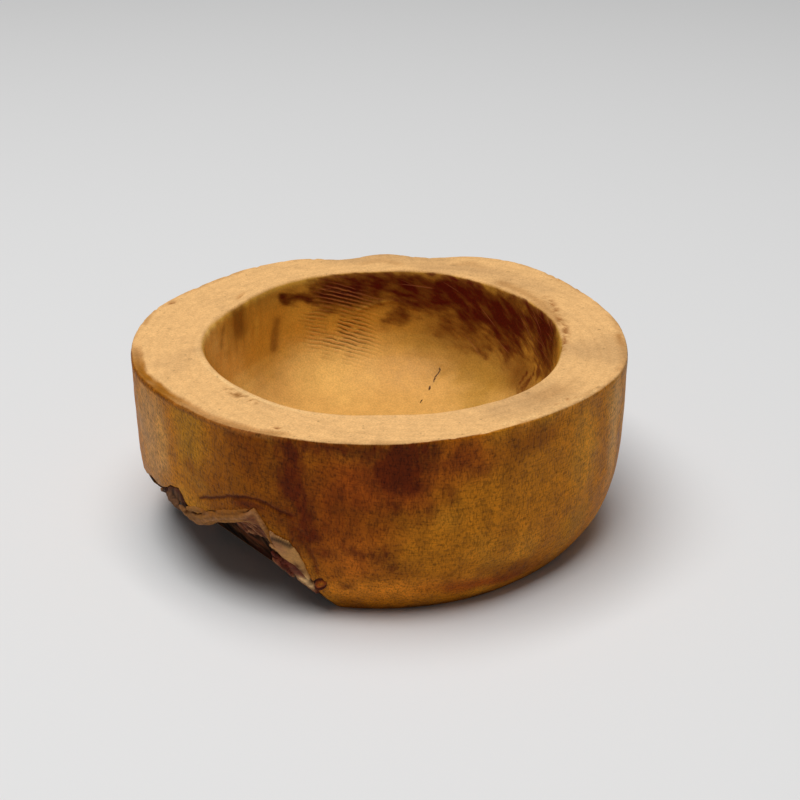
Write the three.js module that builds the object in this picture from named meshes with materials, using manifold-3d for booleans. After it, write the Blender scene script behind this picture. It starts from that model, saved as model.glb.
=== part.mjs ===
// Wooden bowl hewn from one block of root wood.
// Low on the front left the natural surface of the root leaves an undercut, which still holds bark.
// Millimetres, +Z up. The bowl stands on Z = 0, and the origin lies under the middle of its box.
import * as THREE from 'three';
import { mergeVertices } from 'three/addons/utils/BufferGeometryUtils.js';
import Module from 'manifold-3d';

const wasm = await Module();
wasm.setup();
const { degToRad, lerp, smoothstep } = THREE.MathUtils;

// Block: overall size and the curve of its side
const HALF_WIDTH = 82.5; // along X, at the rim
const HALF_DEPTH = 78.3; // along Y, at the rim
const HEIGHT = 65;
const WALL_LEAN = 0.8; // how far the side leans in from rim to foot
const TURN_HEIGHT = 35; // height at which the side starts to curve under
const FOOT_DRAW_IN = 11.8; // how far that curve has come in at the foot
const FOOT_TURN = degToRad(63); // how far round its ellipse that curve goes
const RIM_ROUND = 1.8; // radius at the outer edge of the rim
const LOBE_AT_FOOT = 0.5; // share of a lobe that is left at the foot

// Natural lobes of the outer side: direction in degrees, share of the lobe depth outwards, spread in degrees
const LOBE_DEPTH = 6; // most that a lobe moves the side
const OUTER_LOBES = [
  { at: 55, share: 0.92, spread: 19 },
  { at: 77, share: -0.8, spread: 8 },
  { at: 101, share: -1, spread: 7 },
  { at: 145, share: -0.28, spread: 12 },
  { at: -160, share: 0.13, spread: 10 },
  { at: -122, share: 0.23, spread: 10 },
  { at: -48, share: -0.28, spread: 14 },
  { at: -17, share: 0.17, spread: 8 },
];

// Hollow
const HOLLOW_RADIUS = 59.5;
const HOLLOW_DEPTH = 44;
const HOLLOW_WALL_DEPTH = 20; // depth of the upright part of its wall
const HOLLOW_WALL_LEAN = 1.5; // how far that part leans in
const HOLLOW_FLOOR_RADIUS = 24; // flat middle of its floor
const HOLLOW_RIM_ROUND = 1.6; // radius at the inner edge of the rim
const HOLLOW_SHIFT = 0.7; // its centre along X, from the block's
const HOLLOW_LOBE_DEPTH = 3; // most that a lobe moves its wall
const HOLLOW_LOBES = [
  { at: 152, share: -1, spread: 18 },
  { at: 70, share: 0.6, spread: 14 },
  { at: -125, share: 0.53, spread: 24 },
  { at: -88, share: -0.4, spread: 14 },
  { at: -38, share: 0.47, spread: 20 },
];

// Undercut: its ceiling climbs from a straight line on the floor to a ragged edge on the wall.
// Places along the wall are turns in plan from the way it faces.
const UNDERCUT_FACING = degToRad(-140);
const UNDERCUT_REACH = 16.6; // how far that line lies in from the foot's edge, at the middle
const UNDERCUT_LEAST_REACH = 7; // least distance from that line out to the wall
const UNDERCUT_DOME = 1.7; // how domed the ceiling is: 1 is a plain slope, less is a bulge
const UNDERCUT_BULGE = 0.75; // the same at its right end
const UNDERCUT_BULGE_FROM = degToRad(17.4); // where the dome starts to turn into that bulge
const UNDERCUT_BULGE_TO = degToRad(27.1);
const UNDERCUT_RIPPLE = 0.6; // height of the lumps on the ceiling
const UNDERCUT_RIPPLE_LENGTH = 17; // distance from lump to lump
const UNDERCUT_PEAK = 39.3; // height of the edge's peak
// Ragged edge, left to right as seen from outside: turn in degrees, and share of the peak's height
const UNDERCUT_EDGE = [
  { at: -43, share: -0.18 },
  { at: -34, share: 0.254 },
  { at: -27.5, share: 0.611 },
  { at: -21.4, share: 0.725 },
  { at: -10.6, share: 0.751 },
  { at: -4.3, share: 0.85 },
  { at: -1.1, share: 0.878 },
  { at: 0.6, share: 0.758 },
  { at: 4.3, share: 0.733 },
  { at: 10.1, share: 0.83 },
  { at: 16.7, share: 0.911 },
  { at: 20.1, share: 0.931 },
  { at: 21.7, share: 1 },
  { at: 23.7, share: 0.916 },
  { at: 25.8, share: 0.802 },
  { at: 29.3, share: 0.751 },
  { at: 31.7, share: 0.662 },
  { at: 32.6, share: 0.433 },
  { at: 33.3, share: 0.153 },
  { at: 36, share: -0.18 },
];

// Bark: loose layers under the ceiling, with their ends as turns and their widths in from the ragged edge
const BARK_GAP = 0.6; // clearance below the ceiling, and between neighbours
const LIP_FROM = degToRad(1.15);
const LIP_TO = degToRad(25);
const LIP_THICKNESS = 2.3;
const LIP_HEEL = 1.4; // how much thicker the lip is at its left end
const LIP_WIDTH = 4.5;
const LEFT_FLAKE_FROM = degToRad(-10.6);
const LEFT_FLAKE_THICKNESS = 5.4; // beside the lip
const LEFT_FLAKE_TIP_THICKNESS = 1; // at its far end
const LEFT_FLAKE_WIDTH = 11;
const MID_FLAKE_FROM = degToRad(11.2);
const MID_FLAKE_THICKNESS = 1.6;
const MID_FLAKE_WIDTH = 9;
const UPPER_STRIP_TO = degToRad(32);
const UPPER_STRIP_THICKNESS = 1.6;
const UPPER_STRIP_WIDTH = 3;
const LOWER_STRIP_TO = degToRad(30.2);
const LOWER_STRIP_THICKNESS = 1.4;
const LOWER_STRIP_WIDTH = 6;

// Knot: a small oval plug in a socket in the wall
const KNOT_FACING = UNDERCUT_FACING + degToRad(36.3); // just past the undercut's right end
const KNOT_HEIGHT = 13.2; // height of its middle
const KNOT_HALF_LENGTH = 2.8;
const KNOT_HALF_WIDTH = 1.8;
const KNOT_TILT = degToRad(-30); // turn of its long side from level: its right end is the higher one
const KNOT_SINK = 3; // depth of its socket
const KNOT_PROUD = 0.4; // how far it stands out of the wall
const KNOT_CROWN = 0.8; // share of its face that is flat
const KNOT_CLEARANCE = 0.3;

// Finish of each piece
const WOOD = { color: 0xb98543, roughness: 0.55 };
const PALE_BARK = { color: 0xb38c54, roughness: 0.8 };
const DARK_BARK = { color: 0x4a2e22, roughness: 0.85 };
const BROWN_BARK = { color: 0x7a5433, roughness: 0.85 };
const RED_BARK = { color: 0x6b3a2c, roughness: 0.85 };
const KNOT_WOOD = { color: 0x8a5526, roughness: 0.6 };

// Fineness of the faceted surfaces
const BLOCK_SEGMENTS = 120;
const HOLLOW_SEGMENTS = 96;
const KNOT_SEGMENTS = 24;
const ARC_STEPS = 3; // along a rounded edge
const CURVE_STEPS = 9; // along a long curve
const UNDERCUT_FACET = 1.8;
const WALL_ROUNDS = 4; // rounds in which a place on the wall is found
const CUT_OVERRUN = 12; // how far a cutter runs past what it cuts

// Radius in one direction: a base plus the lobes there, whose shares are multiplied by depth
function lobed(base, lobes, angle, depth) {
  let radius = base;
  for (const lobe of lobes) {
    const turn = Math.atan2(Math.sin(angle - degToRad(lobe.at)), Math.cos(angle - degToRad(lobe.at)));
    radius += lobe.share * depth * Math.exp(-((turn / degToRad(lobe.spread)) ** 2));
  }
  return radius;
}

function ellipseRadius(angle) {
  return 1 / Math.hypot(Math.cos(angle) / HALF_WIDTH, Math.sin(angle) / HALF_DEPTH);
}

function blockRadius(angle, height) {
  const depth = LOBE_DEPTH * lerp(LOBE_AT_FOOT, 1, height / HEIGHT);
  return lobed(ellipseRadius(angle), OUTER_LOBES, angle, depth);
}

// How far the side has come in from the rim's outline at a height
function sideInset(height) {
  const lean = WALL_LEAN * (1 - height / HEIGHT);
  if (height >= TURN_HEIGHT) {
    return lean;
  }
  const drop = ((TURN_HEIGHT - height) / TURN_HEIGHT) * Math.sin(FOOT_TURN);
  const curve = (1 - Math.sqrt(1 - drop * drop)) / (1 - Math.cos(FOOT_TURN));
  return lean + FOOT_DRAW_IN * curve;
}

// Solid of revolution about Z, stretched in plan by a factor for each direction and height
function turned(profile, segments, stretch) {
  const geometry = new THREE.LatheGeometry(profile, segments);
  geometry.rotateX(Math.PI / 2);
  const position = geometry.attributes.position;
  for (let i = 0; i < position.count; i += 1) {
    const x = position.getX(i);
    const y = position.getY(i);
    const z = position.getZ(i);
    const factor = stretch(Math.atan2(y, x), z);
    position.setXYZ(i, x * factor, y * factor, z);
  }
  return geometry;
}

// Closed mesh as a solid that can be joined and cut
function solid(geometry) {
  geometry.deleteAttribute('normal');
  geometry.deleteAttribute('uv');
  const merged = mergeVertices(geometry);
  const corners = merged.index.array;
  const kept = [];
  for (let i = 0; i < corners.length; i += 3) {
    const [a, b, c] = corners.slice(i, i + 3);
    if (a !== b && b !== c && c !== a) {
      kept.push(a, b, c);
    }
  }
  const mesh = new wasm.Mesh({
    numProp: 3,
    vertProperties: new Float32Array(merged.attributes.position.array),
    triVerts: new Uint32Array(kept),
  });
  return new wasm.Manifold(mesh);
}

// Solid as a named mesh with its own material
function node(name, shape, { color, roughness }) {
  const { vertProperties, triVerts } = shape.getMesh();
  const geometry = new THREE.BufferGeometry();
  geometry.setAttribute('position', new THREE.BufferAttribute(vertProperties, 3));
  geometry.setIndex(new THREE.BufferAttribute(triVerts, 1));
  geometry.computeVertexNormals();
  const material = new THREE.MeshStandardMaterial({ color, roughness, metalness: 0 });
  const mesh = new THREE.Mesh(geometry, material);
  mesh.name = name;
  return mesh;
}

// Block before it is hollowed
function block() {
  const radius = HALF_WIDTH;
  const profile = [new THREE.Vector2(0, 0)];
  for (let i = 0; i <= CURVE_STEPS; i += 1) {
    const turn = FOOT_TURN * (1 - i / CURVE_STEPS);
    const height = TURN_HEIGHT * (1 - Math.sin(turn) / Math.sin(FOOT_TURN));
    profile.push(new THREE.Vector2(radius - sideInset(height), height));
  }
  const shoulder = HEIGHT - RIM_ROUND;
  const edge = radius - sideInset(shoulder) - RIM_ROUND;
  for (let i = 0; i <= ARC_STEPS; i += 1) {
    const turn = (Math.PI / 2) * (i / ARC_STEPS);
    const out = edge + RIM_ROUND * Math.cos(turn);
    profile.push(new THREE.Vector2(out, shoulder + RIM_ROUND * Math.sin(turn)));
  }
  profile.push(new THREE.Vector2(0, HEIGHT));
  const stretch = (angle, height) => blockRadius(angle, height) / HALF_WIDTH;
  return solid(turned(profile, BLOCK_SEGMENTS, stretch));
}

// Space inside the bowl, which runs on above the rim
function hollow() {
  const floor = HEIGHT - HOLLOW_DEPTH;
  const bend = HEIGHT - HOLLOW_WALL_DEPTH;
  const bendRadius = HOLLOW_RADIUS - HOLLOW_WALL_LEAN;
  const profile = [new THREE.Vector2(0, floor)];
  for (let i = 0; i <= CURVE_STEPS; i += 1) {
    const turn = (Math.PI / 2) * (i / CURVE_STEPS);
    const out = lerp(HOLLOW_FLOOR_RADIUS, bendRadius, Math.sin(turn));
    profile.push(new THREE.Vector2(out, lerp(bend, floor, Math.cos(turn))));
  }
  const mouth = HOLLOW_RADIUS + HOLLOW_RIM_ROUND;
  for (let i = 0; i < ARC_STEPS; i += 1) {
    const turn = (Math.PI / 2) * (i / ARC_STEPS);
    const drop = HOLLOW_RIM_ROUND * (1 - Math.sin(turn));
    profile.push(new THREE.Vector2(mouth - HOLLOW_RIM_ROUND * Math.cos(turn), HEIGHT - drop));
  }
  profile.push(new THREE.Vector2(mouth + CUT_OVERRUN, HEIGHT + HOLLOW_RIM_ROUND));
  profile.push(new THREE.Vector2(0, HEIGHT + HOLLOW_RIM_ROUND));
  const stretch = (angle) => lobed(HOLLOW_RADIUS, HOLLOW_LOBES, angle, HOLLOW_LOBE_DEPTH) / HOLLOW_RADIUS;
  const geometry = turned(profile, HOLLOW_SEGMENTS, stretch);
  geometry.translate(HOLLOW_SHIFT, 0, 0);
  return solid(geometry);
}

// Distance of the block's side from the axis in one direction
function wallRadius(angle, height) {
  return blockRadius(angle, height) - sideInset(height);
}

// Distance along the wall that a turn from the undercut's facing leads to
function alongAt(turn) {
  return wallRadius(UNDERCUT_FACING + turn, TURN_HEIGHT) * Math.sin(turn);
}

// Ragged edge as distances along the wall and heights, and the distance of the ceiling's foot from the axis
const raggedEdge = UNDERCUT_EDGE.map(({ at, share }) => [alongAt(degToRad(at)), share * UNDERCUT_PEAK]);
const floorLine = wallRadius(UNDERCUT_FACING, 0) - UNDERCUT_REACH;
const bulgeFrom = alongAt(UNDERCUT_BULGE_FROM);
const bulgeTo = alongAt(UNDERCUT_BULGE_TO);

// Height of the ragged edge at a distance along the wall
function edgeHeight(along) {
  const last = raggedEdge.length - 1;
  if (along >= raggedEdge[last][0]) {
    return raggedEdge[last][1];
  }
  const next = Math.max(1, raggedEdge.findIndex(([at]) => at >= along));
  const [fromAt, fromHeight] = raggedEdge[next - 1];
  const [toAt, toHeight] = raggedEdge[next];
  return lerp(fromHeight, toHeight, smoothstep(along, fromAt, toAt));
}

// Distance of the wall from the bowl's axis at a height, straight out from a place along the undercut
function wallLine(along, height) {
  let radius = wallRadius(UNDERCUT_FACING, height);
  for (let i = 0; i < WALL_ROUNDS; i += 1) {
    const turn = Math.asin(THREE.MathUtils.clamp(along / radius, -1, 1));
    radius = wallRadius(UNDERCUT_FACING + turn, height);
  }
  return Math.sqrt(Math.max(radius * radius - along * along, 0));
}

// The same at the height of the ragged edge
function edgeLine(along) {
  return wallLine(along, Math.max(edgeHeight(along), 0));
}

// Height of the undercut's ceiling: out is the distance from the axis, along runs along the wall
function ceilingHeight(out, along) {
  const reach = Math.max(edgeLine(along) - floorLine, UNDERCUT_LEAST_REACH);
  const share = (out - floorLine) / reach;
  if (share <= 0) {
    return share * reach;
  }
  const turn = smoothstep(along, bulgeFrom, bulgeTo);
  const climb = 1 - Math.max(1 - share, 0) ** lerp(UNDERCUT_DOME, UNDERCUT_BULGE, turn);
  const wave = (2 * Math.PI) / UNDERCUT_RIPPLE_LENGTH;
  const lumps = UNDERCUT_RIPPLE * Math.sin(wave * along) * Math.cos(wave * out);
  return (edgeHeight(along) + lumps) * climb;
}

// All that lies below the ceiling, lowered by a drop for each place along the wall.
// One row of its corners follows the ragged edge.
function undercut(drop) {
  const left = raggedEdge[0][0];
  const right = raggedEdge[raggedEdge.length - 1][0];
  const inner = floorLine - CUT_OVERRUN;
  const outer = HALF_WIDTH + CUT_OVERRUN;
  const rows = Math.round((HALF_WIDTH - inner) / UNDERCUT_FACET);
  const columns = Math.round((right - left) / UNDERCUT_FACET);
  const geometry = new THREE.BoxGeometry(1, 1, 1, rows + 1, columns, 1);
  const position = geometry.attributes.position;
  for (let i = 0; i < position.count; i += 1) {
    const along = lerp(left, right, position.getY(i) + 0.5);
    const row = Math.round((position.getX(i) + 0.5) * (rows + 1));
    const edge = Math.max(edgeLine(along), inner + UNDERCUT_FACET);
    const out = row > rows ? outer : lerp(inner, edge, row / rows);
    const top = ceilingHeight(out, along) - drop(along);
    position.setXYZ(i, out, along, position.getZ(i) > 0 ? top : -2 * CUT_OVERRUN);
  }
  geometry.rotateZ(UNDERCUT_FACING);
  return solid(geometry);
}

// Upright slab over a stretch of the ragged edge, between two distances in from it
function slab(left, right, near, far) {
  const columns = Math.max(1, Math.round((right - left) / UNDERCUT_FACET));
  const geometry = new THREE.BoxGeometry(1, 1, 1, 1, columns, 1);
  const position = geometry.attributes.position;
  for (let i = 0; i < position.count; i += 1) {
    const along = lerp(left, right, position.getY(i) + 0.5);
    const inward = position.getX(i) > 0 ? near : far;
    const height = position.getZ(i) > 0 ? HEIGHT : -CUT_OVERRUN;
    position.setXYZ(i, edgeLine(along) - inward, along, height);
  }
  geometry.rotateZ(UNDERCUT_FACING);
  return solid(geometry);
}

// Layer of bark under the ceiling and within the block, between two places along the wall and two
// distances in from the ragged edge. Its thickness goes from one value at the left to another at the right.
function bark(wood, { left, right, near, far, leftThickness, rightThickness }) {
  const thickness = (along) => lerp(leftThickness, rightThickness, smoothstep(along, left, right));
  const above = undercut(() => BARK_GAP);
  const below = undercut((along) => BARK_GAP + thickness(along));
  return above.subtract(below).intersect(slab(left, right, near, far)).intersect(wood);
}

// Oval plug that points out of the wall, widened all round by a margin
function knot(margin) {
  const profile = [
    new THREE.Vector2(0, -KNOT_SINK - margin),
    new THREE.Vector2(1, -KNOT_SINK - margin),
    new THREE.Vector2(1, 0),
    new THREE.Vector2(KNOT_CROWN, KNOT_PROUD),
    new THREE.Vector2(0, KNOT_PROUD),
  ];
  const geometry = new THREE.LatheGeometry(profile, KNOT_SEGMENTS);
  geometry.scale(KNOT_HALF_LENGTH + margin, 1, KNOT_HALF_WIDTH + margin);
  geometry.rotateY(KNOT_TILT);
  geometry.rotateZ(-Math.PI / 2);
  geometry.rotateX(Math.PI / 2);
  geometry.translate(wallRadius(KNOT_FACING, KNOT_HEIGHT), 0, KNOT_HEIGHT);
  geometry.rotateZ(KNOT_FACING);
  return solid(geometry);
}

const wood = block();
const body = wood.subtract(hollow()).subtract(undercut(() => 0)).subtract(knot(KNOT_CLEARANCE));

const lipLeft = alongAt(LIP_FROM);
const lipRight = alongAt(LIP_TO);
const lip = bark(wood, {
  left: lipLeft,
  right: lipRight,
  near: -CUT_OVERRUN,
  far: LIP_WIDTH,
  leftThickness: LIP_THICKNESS + LIP_HEEL,
  rightThickness: LIP_THICKNESS,
});
const leftFlake = bark(wood, {
  left: alongAt(LEFT_FLAKE_FROM),
  right: lipLeft - BARK_GAP,
  near: -CUT_OVERRUN,
  far: LEFT_FLAKE_WIDTH,
  leftThickness: LEFT_FLAKE_TIP_THICKNESS,
  rightThickness: LEFT_FLAKE_THICKNESS,
});
const midFlake = bark(wood, {
  left: alongAt(MID_FLAKE_FROM),
  right: lipRight,
  near: LIP_WIDTH + BARK_GAP,
  far: LIP_WIDTH + BARK_GAP + MID_FLAKE_WIDTH,
  leftThickness: MID_FLAKE_THICKNESS,
  rightThickness: MID_FLAKE_THICKNESS,
});
const upperStrip = bark(wood, {
  left: lipRight + BARK_GAP,
  right: alongAt(UPPER_STRIP_TO),
  near: -CUT_OVERRUN,
  far: UPPER_STRIP_WIDTH,
  leftThickness: UPPER_STRIP_THICKNESS,
  rightThickness: UPPER_STRIP_THICKNESS,
});
const lowerStrip = bark(wood, {
  left: lipRight + BARK_GAP,
  right: alongAt(LOWER_STRIP_TO),
  near: UPPER_STRIP_WIDTH + BARK_GAP,
  far: UPPER_STRIP_WIDTH + BARK_GAP + LOWER_STRIP_WIDTH,
  leftThickness: LOWER_STRIP_THICKNESS,
  rightThickness: LOWER_STRIP_THICKNESS,
});

const bowl = new THREE.Group();
bowl.add(node('bowl_body', body, WOOD));
bowl.add(node('bark_lip', lip, PALE_BARK));
bowl.add(node('bark_flake_left', leftFlake, DARK_BARK));
bowl.add(node('bark_flake_mid', midFlake, BROWN_BARK));
bowl.add(node('bark_strip_upper', upperStrip, PALE_BARK));
bowl.add(node('bark_strip_lower', lowerStrip, RED_BARK));
bowl.add(node('tip_knot', knot(0), KNOT_WOOD));

const box = new THREE.Box3().setFromObject(bowl);
const middle = box.getCenter(new THREE.Vector3());
bowl.position.set(-middle.x, -middle.y, -box.min.z);

export default bowl;
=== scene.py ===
from math import atan2, cos, hypot, pi, radians, sin, tau

import bmesh
import bpy
import numpy as np
from mathutils import Matrix, Vector, noise
from mathutils.bvhtree import BVHTree
from mathutils.kdtree import KDTree


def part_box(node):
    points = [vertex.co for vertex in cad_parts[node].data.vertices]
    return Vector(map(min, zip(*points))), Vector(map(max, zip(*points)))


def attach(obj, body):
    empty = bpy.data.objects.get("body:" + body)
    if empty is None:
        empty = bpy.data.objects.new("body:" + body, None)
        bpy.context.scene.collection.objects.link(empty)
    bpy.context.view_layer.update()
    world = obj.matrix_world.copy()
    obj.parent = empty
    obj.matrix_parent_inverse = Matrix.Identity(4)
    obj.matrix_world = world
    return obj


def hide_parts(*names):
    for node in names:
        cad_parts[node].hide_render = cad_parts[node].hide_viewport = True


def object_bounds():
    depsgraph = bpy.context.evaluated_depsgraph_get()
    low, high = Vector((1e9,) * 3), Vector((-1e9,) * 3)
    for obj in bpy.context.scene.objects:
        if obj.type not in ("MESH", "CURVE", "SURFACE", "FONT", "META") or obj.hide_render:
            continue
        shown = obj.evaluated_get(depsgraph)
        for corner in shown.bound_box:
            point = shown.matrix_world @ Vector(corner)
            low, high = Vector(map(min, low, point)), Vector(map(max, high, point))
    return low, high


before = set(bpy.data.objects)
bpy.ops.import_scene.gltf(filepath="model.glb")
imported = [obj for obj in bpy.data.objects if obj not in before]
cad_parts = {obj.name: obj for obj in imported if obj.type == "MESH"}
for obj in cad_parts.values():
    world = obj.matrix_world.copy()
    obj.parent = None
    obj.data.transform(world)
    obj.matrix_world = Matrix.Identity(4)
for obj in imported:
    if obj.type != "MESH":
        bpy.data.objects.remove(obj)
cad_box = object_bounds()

# Lengths are in mm and angles in degrees, unless a comment says otherwise, and places in the image in pixels
MM = 0.001

# Camera: it looks along +Y and down. Its place and the reach of its rays are in metres, its pitch in radians
CAMERA_AT = Vector((0.00689, -0.49155, 0.28087))
CAMERA_PITCH = radians(64)
LENS = 72
SENSOR = 36
IMAGE = 800
RAY_REACH = (0.4, 0.7)

# Undercut, as in the CAD: the way it opens in radians, and its place along the wall and out from the axis
FACING = radians(-140)
CUT_ALONG = (-58, 48)
CUT_OUT = (44, 96)
CUT_STEP = 0.7
CUT_FLOOR = -12
CUT_WAVES = 0.6
CUT_RAY_FROM = -5
CUT_LOWEST = 0.02
EDGE_HALVINGS = 5

# Knot, as in the CAD: the way it faces and its tilt in radians, its height and its half sizes
KNOT_FACING = radians(-103.7)
KNOT_TILT = radians(30)
KNOT_HEIGHT = 13.2
KNOT_HALF = (2.8, 1.8)

# Columns of the bowl's mesh in radians, closer round the undercut. The turn keeps rays off the CAD's edges
FINE_FROM = radians(-182)
FINE_TO = radians(-100)
FINE_COLUMNS = 214
COARSE_COLUMNS = 276
COLUMN_TURN = radians(0.013)

# Rows of the bowl's mesh: a band is its start, its end and its number of rows. Other rows are shares of a way
HEIGHT = round(cad_box[1][2] / MM, 1)
WALL_TOP = HEIGHT - 1.8
HOLLOW_TOP = HEIGHT - 3.4
FOOT_ROWS = (0.05, 0.2, 0.35, 0.5, 0.62, 0.72, 0.8, 0.87, 0.93, 0.975)
WALL_BANDS = ((0, 12, 9), (12, 30, 17), (30, 43, 24), (43, WALL_TOP, 15))
BEVEL_ROWS = 6
RIM_ROWS = (
    0.02, 0.045, 0.07, 0.095, 0.12, 0.15, 0.185, 0.23, 0.3, 0.38, 0.46,
    0.54, 0.62, 0.7, 0.76, 0.81, 0.85, 0.89, 0.925, 0.96, 1.0,
)
LIP_ROWS = 6
HOLLOW_BANDS = ((0, 0.37, 62), (0.37, 0.72, 26), (0.72, 0.97, 4))

# Rays that find the wall and the hollow, the side that has no undercut, and rounds of smoothing
WALL_RAY_FROM = 200
WALL_RAY_LOWEST = 0.1
PLAIN_SIDE = (-60, 20)
UNCUT_MARGIN = 0.5
HOLLOW_RAYS = 160
WALL_BLUR = (8, 5)
HOLLOW_BLUR = (8, 4)

# Rim: its outer bevel, with waves of an amount, a size, octaves and a seed, and the rounding of the mouth
BEVEL_DEPTH = 1.2
BEVEL_POWER = 0.62
BEVEL_WAVES = ((0.35, 12, 3, 1), (0.3, 3.5, 2, 2))
INNER_ROUND = 1.9
HOLLOW_X = 0.7
MOUTH_RADIUS = 58

# Flat stretch of the mouth: its direction and half width, its depth, and the height where it starts
FLAT_TOWARDS = -135
FLAT_TURN = 26
FLAT_DEPTH = 2.2
FLAT_FROM = 44

# Sides of the bowl: a direction, and the angles from it where the side has ended and where it begins to
CHAMFER_SIDE = (-142, 35, 28)
LEFT_FRONT = (-142, 42, 18)
RIGHT_FRONT = (-66, 20, 8)
WORN_SIDE = (-154, 18, 5)

# Noise: its shift from one seed to the next, in its own features
SEED_SHIFT = np.array((17.3, -9.1, 5.7))

# Relief: the most it may rise over the rim, and the height above the foot where it is full
RISE_LIMIT = 0.2
CALM_FOOT = 3

# Lines on the bark: the step in pixels along a line, and one so long that the line stays dots
LINE_STEP = 2.0
DOTS = 99

# Ridges melted onto the bark: the step along them, and how far from its piece a ridge may lie
MELT_STEP = 0.35
MELT_REACH = 2.5


def linear(red, green, blue):
    """Linear colour of an sRGB one from 0 to 255."""
    c = np.array((red, green, blue)) / 255
    return np.where(c < 0.04045, c / 12.92, ((c + 0.055) / 1.055) ** 2.4)


def ramp(x, low, high):
    """Smooth rise from 0 at low to 1 at high."""
    t = np.clip((x - low) / (high - low), 0, 1)
    return t * t * (3 - 2 * t)


def fbm(points, size, octaves=3, seed=0):
    """Fractal noise at points in mm, about -1 to 1, with features of a given size in mm."""
    shape = points.shape[:-1]
    moved = points.reshape(-1, 3) / np.broadcast_to(size, 3) + SEED_SHIFT * (seed + 1)
    values = [noise.fractal(p, 1.0, 2.0, octaves, noise_basis="PERLIN_NEW") for p in moved.tolist()]
    return np.array(values).reshape(shape)


def blur(values, rounds, axis, wrap):
    """Values averaged with their neighbours along one axis."""
    for _ in range(rounds):
        before = np.roll(values, 1, axis)
        after = np.roll(values, -1, axis)
        mixed = 0.5 * values + 0.25 * (before + after)
        if not wrap:
            index = [slice(None)] * values.ndim
            for end in (0, -1):
                index[axis] = end
                mixed[tuple(index)] = values[tuple(index)]
        values = mixed
    return values


def smoothed(values, rounds):
    """Values of the grid smoothed round the columns and along the rows."""
    return blur(blur(values, rounds[0], 0, True), rounds[1], 1, False)


def stops(bands):
    """Values along bands that follow each other. Only the last band has its end among them."""
    return np.concatenate([np.linspace(*band, endpoint=band is bands[-1]) for band in bands])


def pixel_ray(pixel):
    """Direction from the camera through a point of the image."""
    scale = SENSOR / LENS / IMAGE
    local = Vector(((pixel[0] - IMAGE / 2) * scale, (IMAGE / 2 - pixel[1]) * scale, -1))
    return (Matrix.Rotation(CAMERA_PITCH, 3, "X") @ local).normalized()


def cad_tree(node):
    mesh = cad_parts[node].data
    faces = [list(p.vertices) for p in mesh.polygons]
    return BVHTree.FromPolygons([v.co.copy() for v in mesh.vertices], faces)


body_tree = cad_tree("bowl_body")


def cast(origin, direction):
    """First point of the CAD body along a ray, in mm, or None."""
    hit = body_tree.ray_cast(Vector(origin) * MM, Vector(direction))[0]
    return None if hit is None else hit / MM


def at_pixel(tree, pixel, sink=0.0):
    """Point in mm that the camera sees of a surface at a point of the image, or else the nearest on that ray.
    It may be sunk into the surface along the ray."""
    way = pixel_ray(pixel)
    hit = tree.ray_cast(CAMERA_AT, way)[0]
    if hit is None:
        line = [CAMERA_AT + way * far for far in np.arange(*RAY_REACH, MM)]
        hit = min(line, key=lambda p: tree.find_nearest(p)[3])
    return np.array(hit) / MM + np.array(way) * sink


# Shape of the bowl from the CAD body: a grid of columns round the axis and rows along the profile
fine = np.linspace(FINE_FROM, FINE_TO, FINE_COLUMNS, endpoint=False)
coarse = np.linspace(FINE_TO, FINE_FROM + tau, COARSE_COLUMNS, endpoint=False)
theta = np.concatenate((fine, coarse)) + COLUMN_TURN
cos_t = np.cos(theta)
sin_t = np.sin(theta)
columns = len(theta)


def turned_from(direction):
    """Angles of the columns from a direction, both in degrees."""
    return np.abs((np.degrees(theta) - direction + 180) % 360 - 180)[:, None]


def side(direction, ended, begins):
    """Share of each column on a side of the bowl, 1 near its direction."""
    return ramp(turned_from(direction), ended, begins)


heights = stops(WALL_BANDS)
wall = np.zeros((columns, len(heights)))
for i in range(columns):
    start = (WALL_RAY_FROM * cos_t[i], WALL_RAY_FROM * sin_t[i])
    for k, z in enumerate(heights):
        hit = cast((*start, max(z, WALL_RAY_LOWEST)), (-cos_t[i], -sin_t[i], 0))
        wall[i, k] = hypot(hit.x, hit.y)
turn = (np.degrees(theta) + 180) % 360 - 180
plain = (turn > PLAIN_SIDE[0]) & (turn < PLAIN_SIDE[1])
inset = (wall[plain, -1:] - wall[plain]).mean(0)
uncut = wall[:, -1:] - inset - UNCUT_MARGIN
wall = smoothed(np.maximum(wall, uncut), WALL_BLUR)

hollow_steps = stops(HOLLOW_BANDS)
hollow = []
for i in range(columns):
    line = []
    for drop in np.linspace(0, pi / 2, HOLLOW_RAYS):
        level = cos(drop)
        hit = cast((HOLLOW_X, 0, HOLLOW_TOP), (level * cos_t[i], level * sin_t[i], -sin(drop)))
        line.append((hypot(hit.x - HOLLOW_X, hit.y), hit.z))
    line = np.array(line)
    length = np.concatenate(((0,), np.cumsum(np.hypot(*np.diff(line, axis=0).T))))
    share = length / length[-1]
    hollow.append(np.stack([np.interp(hollow_steps, share, line[:, c]) for c in (0, 1)], -1))
hollow = smoothed(np.array(hollow), HOLLOW_BLUR)
flat = np.exp(-(turned_from(FLAT_TOWARDS) / FLAT_TURN) ** 2)
hollow[..., 0] -= FLAT_DEPTH * flat * ramp(hollow[..., 1], FLAT_FROM, HOLLOW_TOP)


def ring(radius, height, shift=0.0):
    """Points of one row: a radius for each column, and a height."""
    return np.stack((shift + radius * cos_t, radius * sin_t, np.broadcast_to(height, radius.shape)), -1)


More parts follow.
